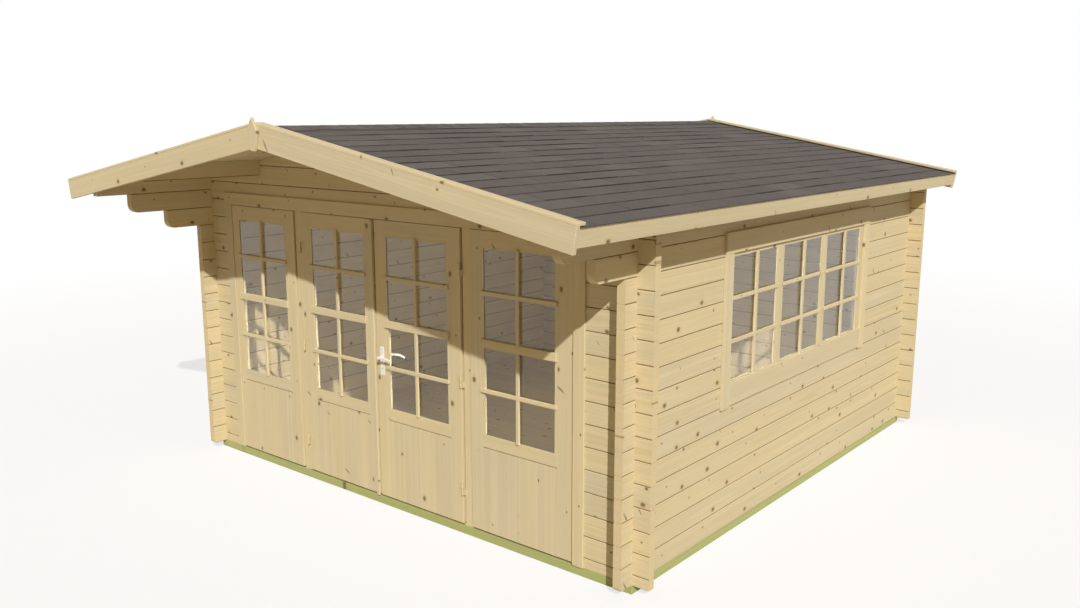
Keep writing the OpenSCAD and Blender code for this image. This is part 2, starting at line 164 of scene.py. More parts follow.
def outlineInset(outline, by):
    # every corner of a closed outline moves along the middle line of its two edges until both edges
    # have moved inwards by the same amount
    ahead = np.roll(outline, -1, 0) - outline
    ahead /= np.linalg.norm(ahead, axis=1)[:, None]
    behind = np.roll(ahead, 1, 0)
    normal = np.stack([-ahead[:, 1], ahead[:, 0]], 1)
    before = np.stack([-behind[:, 1], behind[:, 0]], 1)
    middle = normal + before
    middle /= np.maximum((middle * normal).sum(1), 0.3)[:, None]
    return outline + by * middle


def prism(outline, d0, d1, axis, bevel=0.001, grainAxis=2):
    # outline, counter-clockwise, in the two axes that follow axis, swept from d0 to d1 along axis,
    # with its rims planed off by bevel
    outline = np.array(outline, float)
    flat = [outlineInset(outline, bevel), outline, outline, outlineInset(outline, bevel)]
    depth = [d0, d0 + bevel, d1 - bevel, d1]
    rings = np.zeros((4, len(outline), 3))
    for n in range(4):
        rings[n, :, axis] = depth[n]
        rings[n, :, (axis + 1) % 3] = flat[n][:, 0]
        rings[n, :, (axis + 2) % 3] = flat[n][:, 1]
    return lofted(rings, grainAxis)


def roundAngles(sides):
    return np.arange(sides) * 2 * math.pi / sides


def turned(profile, centre, axis, sides=24):
    # profile: (radius, height) pairs turned round axis through centre
    profile = np.array(profile, float)
    angle = roundAngles(sides)
    rings = np.zeros((len(profile), sides, 3))
    rings[:, :, axis] = profile[:, 1:2]
    rings[:, :, (axis + 1) % 3] = profile[:, :1] * np.cos(angle)
    rings[:, :, (axis + 2) % 3] = profile[:, :1] * np.sin(angle)
    return rings + np.array(centre, float)


def roundedRectangle(w, h, r, steps=6):
    # four quarter circles of radius r, whose middles stand r inside the corners
    quarter = np.arange(steps + 1) * math.pi / 2 / steps
    spots = []
    for n, (sx, sy) in enumerate(((1, 1), (-1, 1), (-1, -1), (1, -1))):
        angle = quarter + n * math.pi / 2
        spots.append(np.stack([sx * (w / 2 - r) + r * np.cos(angle),
                               sy * (h / 2 - r) + r * np.sin(angle)], 1))
    return np.concatenate(spots)


def placed(name, data):
    made = bpy.data.objects.new(name, data)
    bpy.context.scene.collection.objects.link(made)
    return made


def piece(name, parts, finish, body="root", stands=(), smooth=None):
    # joins parts into one mesh at the origin; the grain and the tone of every point go along as attributes
    points = np.concatenate([p["points"] for p in parts])
    start = np.cumsum([0] + [len(p["points"]) for p in parts])
    faces = [[i + s for i in f] for p, s in zip(parts, start) for f in p["faces"]]
    mesh = bpy.data.meshes.new(name)
    mesh.from_pydata(points.tolist(), [], faces)
    grain = mesh.attributes.new("grain", "FLOAT_VECTOR", "POINT")
    grain.data.foreach_set("vector", np.concatenate([p["grain"] for p in parts]).astype(np.float32).ravel())
    tone = mesh.attributes.new("tone", "FLOAT", "POINT")
    tone.data.foreach_set("value", np.concatenate([p["tone"] for p in parts]).astype(np.float32))
    mesh.materials.append(finish)
    mesh.update()
    if smooth:
        mesh.shade_smooth()
        mesh.set_sharp_from_angle(angle=math.radians(smooth))
    made = placed(name, mesh)
    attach(made, body)
    if stands:
        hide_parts(*stands)
    return made


def joineryPiece(name, parts, stands, body="root"):
    return piece(name, parts, joinery, body, [stands])


def stripes(low, high, count):
    edges = np.linspace(low, high, count + 1)
    return list(zip(edges[:-1], edges[1:]))


def onSlope(side):
    # local s runs down the slope from the ridge, y along the house and n square to the slope:
    # x = side * (s cos + n sin), z = ridge - s sin + n cos
    def place(p):
        return np.stack([side * (p[:, 0] * slopeCos + p[:, 2] * slopeSin), p[:, 1],
                         house["ridgeZ"] - p[:, 0] * slopeSin + p[:, 2] * slopeCos], 1)
    return place


def mitred(points, low, high):
    # the upper end is cut plumb at the ridge: s moves by -n tan(pitch), fading out towards the lower end
    share = 1 - (points[:, :, 0] - low[:, :, 0]) / (high - low)[:, :, 0]
    points[:, :, 0] -= share * points[:, :, 2] * slopeTan
    return points


def fill(tree, node, values):
    # a socket is linked to the input of that name or number, anything else becomes its value
    for key, value in values.items():
        if isinstance(value, bpy.types.NodeSocket):
            tree.links.new(value, node.inputs[key])
        else:
            node.inputs[key].default_value = value


def add(tree, kind, values=None, out=0, **settings):
    made = tree.nodes.new("ShaderNode" + kind)
    for key, value in settings.items():
        setattr(made, key, value)
    fill(tree, made, values or {})
    return made.outputs[out]


def maths(tree, operation, a, b=0.0):
    return add(tree, "Math", {0: a, 1: b}, operation=operation)


def plus(tree, a, b):
    return maths(tree, "ADD", a, b)


def minus(tree, a, b):
    return maths(tree, "SUBTRACT", a, b)


def times(tree, a, b):
    return maths(tree, "MULTIPLY", a, b)


def swayed(tree, level, pattern, amount):
    # level + (pattern - 0.5) * amount
    return plus(tree, level, times(tree, minus(tree, pattern, 0.5), amount))


def hypotenuse(tree, a, b):
    return maths(tree, "SQRT", plus(tree, times(tree, a, a), times(tree, b, b)))


def ramp(tree, value, a, b, c=0.0, d=1.0):
    # smooth step from c at a to d at b
    return add(tree, "MapRange", {"Value": value, "From Min": a, "From Max": b, "To Min": c, "To Max": d},
               interpolation_type="SMOOTHSTEP")


def mixed(tree, share, a, b):
    return add(tree, "Mix", {0: share, 6: a, 7: b}, out=2, data_type="RGBA")


def brightened(tree, colour, level):
    return add(tree, "VectorMath", {0: colour, "Scale": level}, operation="SCALE")


def split(tree, vector):
    return add(tree, "SeparateXYZ", {0: vector}).node.outputs


def stretched(tree, vector, scale):
    return add(tree, "VectorMath", {0: vector, 1: scale}, operation="MULTIPLY")


def noise(tree, vector, scale, detail=2.0, rough=0.5):
    # scale: how fast the noise changes, along each axis or along all of them; None where vector says it
    if scale:
        vector = stretched(tree, vector, scale if isinstance(scale, tuple) else (scale,) * 3)
    return add(tree, "TexNoise", {"Vector": vector, "Scale": 1.0, "Detail": detail, "Roughness": rough})


def showBoth(tree, share, first, second):
    # the surface is first where share is 0 and second where it is 1
    both = add(tree, "MixShader", {0: share, 1: first, 2: second})
    fill(tree, tree.nodes["Material Output"], {"Surface": both})


def carried(tree):
    # the grain and the tone that every new piece carries on its points
    return [add(tree, "Attribute", out=n, attribute_name=name, attribute_type="GEOMETRY")
            for n, name in ((1, "grain"), (2, "tone"))]


def newGroup(name, inputs, outputs):
    tree = bpy.data.node_groups.new(name, "ShaderNodeTree")
    for label, kind, start in inputs:
        socket = tree.interface.new_socket(label, in_out="INPUT", socket_type="NodeSocket" + kind)
        if start is not None:
            socket.default_value = start
    for label, kind in outputs:
        tree.interface.new_socket(label, in_out="OUTPUT", socket_type="NodeSocket" + kind)
    return tree, tree.nodes.new("NodeGroupInput").outputs, tree.nodes.new("NodeGroupOutput")


def groupNode(tree, group, values):
    return add(tree, "Group", values, node_tree=group).node.outputs


def spotsGroup():
    # Scattered spots: cells of a Voronoi pattern stretched along the grain. The offset of a point from
    # its cell's spot is taken back to metres, turned, and divided by the spot's half length and half
    # width; Ring is the length of that, so 1 is the rim of the spot.
    tree, given, made = newGroup(
        "knotSpots",
        [("Grain", "Vector", None), ("Per Metre", "Vector", (2.6, 7.0, 0)), ("Turn", "Float", 0.0),
         ("Half Length", "Float", 0.01), ("Half Width", "Float", 0.008), ("Share", "Float", 0.5)],
        [("Ring", "Float"), ("Strength", "Float"), ("Offset", "Vector")])
    scaled = stretched(tree, given["Grain"], given["Per Metre"])
    cell = add(tree, "TexVoronoi", {"Vector": scaled, "Scale": 1.0, "Randomness": 0.9}, out=2,
               voronoi_dimensions="2D").node
    chance = add(tree, "SeparateColor", {0: cell.outputs[1]}).node
    offset = add(tree, "VectorMath", {0: scaled, 1: cell.outputs[2]}, operation="SUBTRACT")
    metres = add(tree, "VectorMath", {0: offset, 1: given["Per Metre"]}, operation="DIVIDE")
    spot = add(tree, "VectorRotate", {"Vector": metres, "Angle": given["Turn"]}, rotation_type="Z_AXIS")
    along, across, _ = split(tree, spot)
    size = ramp(tree, chance.outputs[1], 0.0, 1.0, 0.45, 1.25)
    long_ = maths(tree, "DIVIDE", along, times(tree, given["Half Length"], size))
    wide = maths(tree, "DIVIDE", across, times(tree, given["Half Width"], size))
    ring = hypotenuse(tree, long_, wide)
    wobble = noise(tree, given["Grain"], 160, 1.0)
    ring = swayed(tree, ring, wobble, 0.7)
    left = minus(tree, 1.0, given["Share"])
    strength = ramp(tree, chance.outputs[0], left, plus(tree, left, 0.15))
    fill(tree, made, {"Ring": ring, "Strength": strength, "Offset": metres})
    return tree


spruce = {
    "knot": {"Turn": 0.0, "Per Metre": (2.3, 7.3, 1.0), "Half Length": 0.0150, "Half Width": 0.0120},
    "spike": {"Turn": 1.0, "Per Metre": (0.9, 6.1, 1.0), "Half Length": 0.036, "Half Width": 0.0066},
    "spikeShare": 0.55,               # spikes for each knot
    "wander": 0.03,                   # how far the rings wander along a board
    "rings": (0.45, 150.0), "broad": (0.3, 38.0),    # changes a metre, along the board and across its rings
    "fibre": (7, 520, 520),
}


def spruceGroup(spots):
    # Planed spruce. Year rings: the distance from the heart of the tree, bent round knots and wandering
    # along the board, stretched into a noise that changes fast from ring to ring and slowly along it.
    tree, given, made = newGroup(
        "spruceFigure",
        [("Grain", "Vector", None), ("Tone", "Float", 0.5), ("Pale", "Color", (0.66, 0.54, 0.33, 1)),
         ("Honey", "Color", (0.66, 0.54, 0.33, 1)), ("Late Wood", "Color", (0.5, 0.36, 0.18, 1)),
         ("Knot", "Color", (0.2, 0.1, 0.04, 1)), ("Figure", "Float", 0.35), ("Knots", "Float", 0.5),
         ("Heart", "Float", 0.03)],
        [("Color", "Color"), ("Height", "Float"), ("Roughness", "Float")])
    grain, tone = given["Grain"], given["Tone"]

    knot = groupNode(tree, spots, {"Grain": grain, "Share": given["Knots"], **spruce["knot"]})
    spike = groupNode(tree, spots, {"Grain": grain, **spruce["spike"],
                                    "Share": times(tree, given["Knots"], spruce["spikeShare"])})
    length, width, depth = split(tree, grain)
    pull = times(tree, ramp(tree, knot["Ring"], 0.0, 4.5, 0.75, 0.0), knot["Strength"])
    across = minus(tree, width, times(tree, split(tree, knot["Offset"])[1], pull))
    across = swayed(tree, across, tone, 0.05)
    through = plus(tree, depth, given["Heart"])
    radius = hypotenuse(tree, across, through)
    wander = noise(tree, grain, (0.9, 4.0, 4.0), 1.0)
    radius = plus(tree, radius, times(tree, wander, spruce["wander"]))

    def ringsOf(along, perMetre):     # a point whose noise changes fast across the rings
        return add(tree, "CombineXYZ", {0: times(tree, length, along), 1: times(tree, radius, perMetre),
                                        2: tone})

    rings = ramp(tree, noise(tree, ringsOf(*spruce["rings"]), None, 3.0, 0.55), 0.38, 0.68)
    broad = noise(tree, ringsOf(*spruce["broad"]), None, 1.0)
    fibre = noise(tree, grain, spruce["fibre"], 2.0, 0.6)
    patch = noise(tree, grain, (0.8, 6.0, 2.0), 1.0)

    pale = mixed(tree, tone, given["Pale"], given["Honey"])
    late = times(tree, times(tree, rings, given["Figure"]),
                 ramp(tree, broad, 0.3, 0.7, 0.35, 1.0))
    colour = mixed(tree, late, pale, given["Late Wood"])
    level = 1.0
    for pattern, amount in ((broad, 0.22), (patch, 0.16), (fibre, 0.12), (tone, 0.07)):
        level = swayed(tree, level, pattern, amount)
    colour = brightened(tree, colour, level)
    halo = times(tree, ramp(tree, knot["Ring"], 2.6, 0.9, 0.0, 0.3), knot["Strength"])
    colour = mixed(tree, halo, colour, given["Late Wood"])
    core = times(tree, ramp(tree, knot["Ring"], 1.25, 0.55, 0.0, 0.85), knot["Strength"])
    streak = times(tree, ramp(tree, spike["Ring"], 1.3, 0.4, 0.0, 0.7), spike["Strength"])
    dark = maths(tree, "MAXIMUM", core, streak)
    colour = mixed(tree, dark, colour, given["Knot"])
    height = plus(tree, times(tree, rings, 0.5), times(tree, fibre, 0.4))
    height = plus(tree, height, times(tree, dark, 0.5))
    rough = plus(tree, 0.56, times(tree, fibre, 0.14))
    rough = minus(tree, rough, times(tree, dark, 0.12))
    fill(tree, made, {"Color": colour, "Height": height, "Roughness": rough})
    return tree


slitShade = {
    "half": (0.0038, 0.0010),         # painted shade of the slit between logs, in colour dark: where it starts and where it is full
    "strength": 0.92, "endStrength": 0.14,
    "dark": (112, 82, 44), "sawn": (216, 192, 144), "sawnShare": 0.35,
}


def logGroup():
    # A wall of logs. The vector is along, up and through the wall. Course number = whole part of
    # (up - Base) / Course; the grain starts afresh in every log, and Slit Shade is 1 on the line between
    # two logs, where shade is painted into the slit.
    tree, given, made = newGroup(
        "logCourses",
        [("Vector", "Vector", None), ("Base", "Float", 0.054), ("Course", "Float", 0.135),
         ("Middle", "Float", 1.979)],
        [("Grain", "Vector"), ("Tone", "Float"), ("Slit Shade", "Float")])
    length, height, through = split(tree, given["Vector"])
    courses = maths(tree, "DIVIDE", minus(tree, height, given["Base"]), given["Course"])
    number = maths(tree, "FLOOR", courses)
    inLog = times(tree, minus(tree, maths(tree, "FRACT", courses), 0.5), given["Course"])
    side = maths(tree, "SIGN", through)
    wallSeed = plus(tree, number, times(tree, side, 57.0))
    chance = add(tree, "TexWhiteNoise", {"W": plus(tree, wallSeed, given["Middle"])},
                 noise_dimensions="1D").node
    more = add(tree, "SeparateColor", {0: chance.outputs[1]}).node
    along = plus(tree, length, times(tree, more.outputs[2], 60.0))
    depth = minus(tree, maths(tree, "ABSOLUTE", through), given["Middle"])
    grain = add(tree, "CombineXYZ", {0: along, 1: inLog, 2: depth})
    edge = minus(tree, times(tree, given["Course"], 0.5), maths(tree, "ABSOLUTE", inLog))
    fill(tree, made, {"Grain": grain, "Tone": more.outputs[0], "Slit Shade": ramp(tree, edge, *slitShade["half"])})
    return tree


def newMaterial(name):
    made = bpy.data.materials.new(name)
    made.use_nodes = True
    tree = made.node_tree
    return made, tree, tree.nodes["Principled BSDF"]


def colourOf(r, g, b):
    # display values, 11 to 255, turned into the linear colour that nodes take
    return tuple(((v / 255 + 0.055) / 1.055) ** 2.4 for v in (r, g, b)) + (1,)


spruceColours = {
    "Pale": colourOf(210, 198, 165), "Honey": colourOf(211, 196, 156),
    "Late Wood": colourOf(193, 169, 123), "Knot": colourOf(108, 80, 42),
}
spots = spotsGroup()
spruceFigure = spruceGroup(spots)
logCourses = logGroup()


def finishWood(tree, shader, figure, colour):
    normal = add(tree, "Bump", {"Strength": 0.3, "Distance": 0.0008, "Height": figure["Height"]})
    fill(tree, shader, {"Base Color": colour, "Roughness": figure["Roughness"], "Specular IOR Level": 0.35,
                        "Normal": normal})


def logWood(name, order, base, middle):
    made, tree, shader = newMaterial(name)
    xyz = split(tree, add(tree, "TexCoord", out=3))
    vector = add(tree, "CombineXYZ", {n: xyz[a] for n, a in enumerate(order)})
    log = groupNode(tree, logCourses, {"Vector": vector, "Base": base, "Course": house["course"],
                                       "Middle": middle})
    figure = groupNode(tree, spruceFigure, {"Grain": log["Grain"], "Tone": log["Tone"], "Figure": 0.5,
                                            "Knots": 0.85, "Heart": 0.006, **spruceColours})
    facing = split(tree, add(tree, "NewGeometry", out=1))
    end = maths(tree, "ABSOLUTE", facing[order[0]])       # 1 on the sawn ends of the logs
    # painted shade of the slit between logs, weaker on the sawn ends
    line = times(tree, log["Slit Shade"], ramp(tree, end, 0.5, 0.9, slitShade["strength"], slitShade["endStrength"]))
    colour = mixed(tree, ramp(tree, end, 0.5, 0.9, 0.0, slitShade["sawnShare"]), figure["Color"],
                   colourOf(*slitShade["sawn"]))
    colour = mixed(tree, line, colour, colourOf(*slitShade["dark"]))
    finishWood(tree, shader, figure, colour)
    return made


def boardWood(name, colours, figureShare, knots):
    made, tree, shader = newMaterial(name)
    grain, tone = carried(tree)
    figure = groupNode(tree, spruceFigure, {"Grain": grain, "Tone": tone, "Figure": figureShare,
                                            "Knots": knots, "Heart": 0.035, **colours})
    finishWood(tree, shader, figure, figure["Color"])
    return made


halfWall, halfCourse = house["wall"] / 2, house["course"] / 2
sideLogs = logWood("sideLogs", (1, 2, 0), house["bearerTop"], house["sideX"] - halfWall)
frontLogs = logWood("frontLogs", (0, 2, 1), house["bearerTop"] - halfCourse, -house["frontY"] - halfWall)
rearLogs = logWood("rearLogs", (0, 2, 1), house["bearerTop"] - halfCourse, house["rearEnd"] - halfWall)
joinery = boardWood("joinerySpruce", spruceColours, 0.32, 0.55)
roofSpruce = boardWood("roofSpruce", spruceColours, 0.45, 0.8)
treated = boardWood("treatedTimber", {
    "Pale": colourOf(176, 182, 122), "Honey": colourOf(170, 174, 112),
    "Late Wood": colourOf(142, 146, 86), "Knot": colourOf(96, 88, 50)}, 0.5, 0.4)


def feltFinish():
    # grit: fine noise picks between two mineral greys; tabs differ by tone; painted shade darkens the lower
    # edge, where the distance from the butt is small, as the shadow under each butt
    made, tree, shader = newMaterial("feltShingle")
    where = add(tree, "TexCoord", out=3)
    grain, tone = carried(tree)
    grit = noise(tree, where, 420, 1.0, 0.7)
    cloud = noise(tree, where, 9)
    blot = noise(tree, where, 1.3, 1.0)
    base = mixed(tree, ramp(tree, grit, 0.36, 0.64), colourOf(83, 78, 77), colourOf(109, 103, 100))
    level = plus(tree, 0.94, ramp(tree, tone, 0.86, 0.93, 0.0, 0.13))      # a few tabs are lighter
    for pattern, amount in ((tone, 0.09), (cloud, 0.14), (blot, 0.16)):
        level = swayed(tree, level, pattern, amount)
    butt = split(tree, grain)[1]
    # the painted shade under a butt comes and goes along the course
    stretch = noise(tree, where, (1.0, 2.6, 4.0))
    line = ramp(tree, stretch, 0.34, 0.66, 0.12, 0.66)
    shade = times(tree, line, ramp(tree, butt, 0.010, 0.003))
    level = times(tree, level, minus(tree, 1.0, shade))
    bump = add(tree, "Bump", {"Strength": 0.5, "Distance": 0.0015, "Height": grit})
    fill(tree, shader, {"Base Color": brightened(tree, base, level), "Roughness": 0.92,
                        "Specular IOR Level": 0.2, "Normal": bump})
    return made


def glassFinish():
    # clear, slightly warm glass; lamps shine through it
    made, tree, shader = newMaterial("clearPane")
    fill(tree, shader, {"Base Color": (0.97, 0.965, 0.95, 1), "Roughness": 0.0, "Metallic": 0.0,
                        "IOR": 1.45, "Transmission Weight": 1.0})
    clear = add(tree, "BsdfTransparent", {0: (0.93, 0.92, 0.90, 1)})
    showBoth(tree, add(tree, "LightPath", out=1), shader.outputs[0], clear)
    return made


def metalFinish(name, colour, metallic, roughness, grit, mottle):
    # mottle: soft changes of tone; grit: fine bumps of the coat
    made, tree, shader = newMaterial(name)
    where = add(tree, "TexCoord", out=3)
    cloud = noise(tree, where, 60)
    fine = noise(tree, where, 900, 1.0)
    level = swayed(tree, 1.0, cloud, mottle)
    bump = add(tree, "Bump", {"Strength": grit, "Distance": 0.0003, "Height": fine})
    fill(tree, shader, {"Base Color": brightened(tree, colour[:3], level), "Metallic": metallic,
                        "Roughness": plus(tree, roughness, times(tree, cloud, 0.12)), "Normal": bump})
    return made


felt = feltFinish()
glass = glassFinish()
whiteCoat = metalFinish("whiteCoat", colourOf(232, 228, 224), 0.0, 0.28, 0.15, 0.05)
zinc = metalFinish("zincSteel", colourOf(206, 190, 148), 0.1, 0.6, 0.2, 0.1)
# a dark coat for the discs of painted shade that stand in for the keyholes
keyholeShade = metalFinish("keyholeShade", colourOf(34, 32, 34), 0.0, 0.5, 0.1, 0.1)
print("materials ready")


def dress(nodes, finish):
    for name in nodes:
        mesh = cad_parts[name].data
        mesh.materials.clear()
        mesh.materials.append(finish)


dress(["left_wall", "left_corbel_log_low", "left_corbel_log_mid", "left_eaves_log", "right_wall_lower",
       "right_wall_front", "right_wall_rear", "right_corbel_log_low", "right_corbel_log_mid",
       "right_eaves_log", "purlins"], sideLogs)
dress(["front_wall_left", "front_wall_right", "front_gable"], frontLogs)
dress(["rear_wall"], rearLogs)
dress(["sidelight_glass", "window_glass", "left_leaf_glass", "right_leaf_glass"], glass)
print("log walls and glass dressed")


ground = {"bearer": 0.070, "joist": 0.044, "joists": 6, "gap": 0.0005, "board": 0.0885}


def groundTimbers():
    low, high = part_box("foundation_beams")
    w, gap = ground["bearer"], ground["gap"]
    y0, y1 = low.y + w + gap, high.y - w - gap
    rows = [(low.x, high.x, low.y, low.y + w, 0, high.z, 0),
            (low.x, high.x, high.y - w, high.y, 0, high.z, 0),
            (low.x, low.x + w, y0, y1, 0, high.z, 1), (high.x - w, high.x, y0, y1, 0, high.z, 1)]
    pitch = (high.x - low.x - 2 * w) / (ground["joists"] + 1)
    for n in range(ground["joists"]):
        x = low.x + w + (n + 1) * pitch
        rows.append((x - ground["joist"] / 2, x + ground["joist"] / 2, y0, y1, 0, high.z, 1))
    piece("groundTimbers", [planks(rows, 0.002)], treated, stands=["foundation_beams"])


def floorBoards():
    low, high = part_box("floor")
    count = round((high.y - low.y) / ground["board"])
    rows = [(low.x, high.x, *ends, low.z, high.z, 0) for ends in stripes(low.y, high.y, count)]
    piece("floorBoards", [planks(rows, 0.0012)], roofSpruce, stands=["floor"])


groundTimbers()
floorBoards()
print("bearers, joists and floor boards laid")


roof = {
    "slope": (house["sideX"] + 0.294) / slopeCos,    # 0.294 stands past the side walls
    "inner": house["vergeY"] - 0.027,            # ends of the boards, behind the barge boards
    "ridgeGap": 0.0006,
    "board": {"thick": 0.018, "wide": 0.087, "groove": 0.0028, "past": -0.020},
    "shingle": {"courses": 16, "tab": 0.326, "slot": 0.005, "thin": 0.0022, "low": 0.0186, "past": 0.008,
                "lift": 0.0049, "butts": (0.0050, 0.0076), "thickShare": 0.45, "leastTab": 0.03},
    "ridgeTab": {"wing": 0.118, "length": 0.146, "base": 0.0252, "thick": 0.0012, "butt": 0.0022},
    "barge": {"thick": 0.026, "low": -0.098, "high": 0.0315, "past": 0.004},
    "cap": {"wide": 0.064, "low": 0.032, "high": 0.0475, "past": 0.004},
    "fascia": {"thick": 0.019, "low": -0.0715, "high": 0.023},
    "finial": {"thick": 0.018, "half": 0.052, "foot": 0.018, "heights": (2.442, 2.545, 2.632)},
}


def roofBoards(side, name, node):
    b = roof["board"]
    count = round(2 * roof["inner"] / b["wide"])
    rows = [(roof["ridgeGap"], roof["slope"] + b["past"], *ends, 0, b["thick"], 0)
            for ends in stripes(-roof["inner"], roof["inner"], count)]
    boards = planks(rows, b["groove"], onSlope(side), mitred)
    piece(name, [boards], roofSpruce, stands=[node])


def shingleSlope(side, name, node):
    # every tab is a wedge: its height over the boards grows from thin at its upper end to the butt.
    # The lowest tabs also rise by lift, to lie on the fascia's top edge.
    t = roof["shingle"]
    end = roof["slope"] + t["past"]
    rows, butts, lifts = [], [], []
    for n, (s0, s1) in enumerate(stripes(roof["ridgeGap"], end, t["courses"])):
        first = -roof["inner"] - t["tab"] * (0.5 * (n % 2) + 0.12 * rng.random())
        edges = np.clip(np.arange(first, roof["inner"] + t["tab"], t["tab"]), -roof["inner"], roof["inner"])
        edges = np.unique(edges)
        for y0, y1 in zip(edges[:-1], edges[1:]):
            if y1 - y0 > t["leastTab"]:
                rows.append((s0, s1, y0 + t["slot"] / 2 * (y0 > -roof["inner"]),
                             y1 - t["slot"] / 2 * (y1 < roof["inner"]),
                             t["low"], t["low"] + t["butts"][1], 1))
                butts.append(t["butts"][int(rng.random() < t["thickShare"])])
                lifts.append(t["lift"] * (n == t["courses"] - 1))
    butts, lifts = np.array(butts)[:, None], np.array(lifts)[:, None]
    butts = np.where(lifts > 0, t["butts"][1] - lifts, butts)

    def wedge(points, low, high):
        down = (points[:, :, 0] - low[:, :, 0]) / (high - low)[:, :, 0]
        share = (t["thin"] + (butts - t["thin"]) * down) / (high - low)[:, :, 2]
        points[:, :, 2] = low[:, :, 2] + lifts * down + (points[:, :, 2] - low[:, :, 2]) * share
        return points

    made = planks(rows, 0.0008, onSlope(side), wedge)
    lowEdge = np.repeat(np.array(rows)[:, 1], 24)
    s = side * made["points"][:, 0] * slopeCos - (made["points"][:, 2] - house["ridgeZ"]) * slopeSin
    made["grain"][:, 1] = lowEdge - s            # distance up from the butt
    piece(name, [made], felt, stands=[node])


def ridgeTabs():
    # folded tabs: an upside-down V that thins along the ridge; each one starts on the last one's thin end
    r = roof["ridgeTab"]
    wing, rim = r["wing"], r["wing"] - 0.002         # the outer edge slants in a little
    count = round(2 * roof["inner"] / r["length"])
    parts = []
    for y0, y1 in stripes(-roof["inner"], roof["inner"], count):
        rings = []
        for y, top in ((y0 + 0.001, r["butt"]), (y1 - 0.001, r["thick"])):
            spots = []
            for side, down, high in ((-1, wing, 0), (1, 0, 0), (1, wing, 0), (1, rim, 1), (1, 0, 1),
                                     (-1, rim, 1)):
                height = r["base"] + (top if high else 0)
                z = house["ridgeZ"] - down * slopeSin + height * slopeCos
                z += 0 if down else height * (1 / slopeCos - slopeCos)
                x = side * (down * slopeCos + height * slopeSin) if down else 0.0
                spots.append((x, y, z))
            rings.append(spots)
        rings = np.array(rings)
        faces = [[k, (k + 1) % 6, 6 + (k + 1) % 6, 6 + k] for k in range(6)]
        faces += [[0, 5, 4, 1], [1, 4, 3, 2], [6, 7, 10, 11], [7, 8, 9, 10]]
        points = rings.reshape(-1, 3)
        grain = np.stack([points[:, 0], points[:, 1] - y0, points[:, 2] * 0], 1)
        parts.append(part(points, faces, grain, np.full(12, rng.random())))
    piece("ridgeTabs", parts, felt)


def vergeBoards():
    b, c = roof["barge"], roof["cap"]
    y = house["vergeY"]
    for name, spec, thick, node in (("bargeBoards", b, b["thick"], "barge_boards"),
                                    ("bargeCaps", c, c["wide"], "barge_caps")):
        end = roof["slope"] + spec["past"]
        rows = [(roof["ridgeGap"], end, y0, y0 + thick, spec["low"], spec["high"], 0)
                for y0 in (-y, y - thick)]
        joineryPiece(name, [planks(rows, 0.0018, onSlope(side), mitred) for side in (-1, 1)], node)
    f, end = roof["fascia"], roof["slope"]
    rows = [(end - f["thick"], end, -roof["inner"], roof["inner"], f["low"], f["high"], 1)]
    joineryPiece("eaveFascias", [planks(rows, 0.0018, onSlope(side)) for side in (-1, 1)], "eave_fascias")


def ridgePlates():
    f = roof["finial"]
    z0, z1, z2 = f["heights"]
    outline = [(z0, f["foot"]), (z0, -f["foot"]), (z1, -f["half"]), (z2 - 0.004, -0.003), (z2, 0),
               (z2 - 0.004, 0.003), (z1, f["half"])]          # z first, then x
    outline = np.array(outline)
    if np.cross(outline[1] - outline[0], outline[2] - outline[1]) < 0:
        outline = outline[::-1]
    gap = 0.0005
    parts = [prism(outline, y0, y0 + f["thick"], 1, 0.002)
             for y0 in (-house["vergeY"] - gap - f["thick"], house["vergeY"] + gap)]
    joineryPiece("ridgePlates", parts, "finials")


roofBoards(-1, "roofBoardsLeft", "roof_boards_left")
roofBoards(1, "roofBoardsRight", "roof_boards_right")
shingleSlope(-1, "shinglesLeft", "shingles_left")
shingleSlope(1, "shinglesRight", "shingles_right")
ridgeTabs()
vergeBoards()
ridgePlates()
print("roof boards, shingles and verge boards fixed")


glazing = {
    "groove": (0.6175, 0.6225), "grooveDepth": 0.014, "tongue": 0.020, "tongueBack": 0.010, "panels": 4,
    "rebate": 0.020, "leastStile": 0.4, "paneT": 0.006, "depth": 0.042, "sashDepth": 0.020,
    # a lattice of flat bars lies on the outer face: how far it stands out, how far its ends lap
    "lattice": {"out": 0.015, "lap": 0.021, "endLap": 0.012, "upright": 0.025, "bevel": 0.0026},
    "doorBars": ((0.976, 1.003), (1.260, 1.313), (1.582, 1.609)),
    "windowBars": ((1.262, 1.288), (1.533, 1.558)),
    "doorPaneIn": 0.003, "windowPaneIn": 0.003, "windowUpright": 0.030,
}


def turnBoard(row, place):
    # rows are written as along the wall, outwards and up; place says how these lie in the cabin
    u0, u1, v0, v1, z0, z1, axis = row
    if place is None:
        return row
    face, middle = place
    return (face - v1, face - v0, middle + u0, middle + u1, z0, z1, {0: 1, 1: 0, 2: 2}[axis])


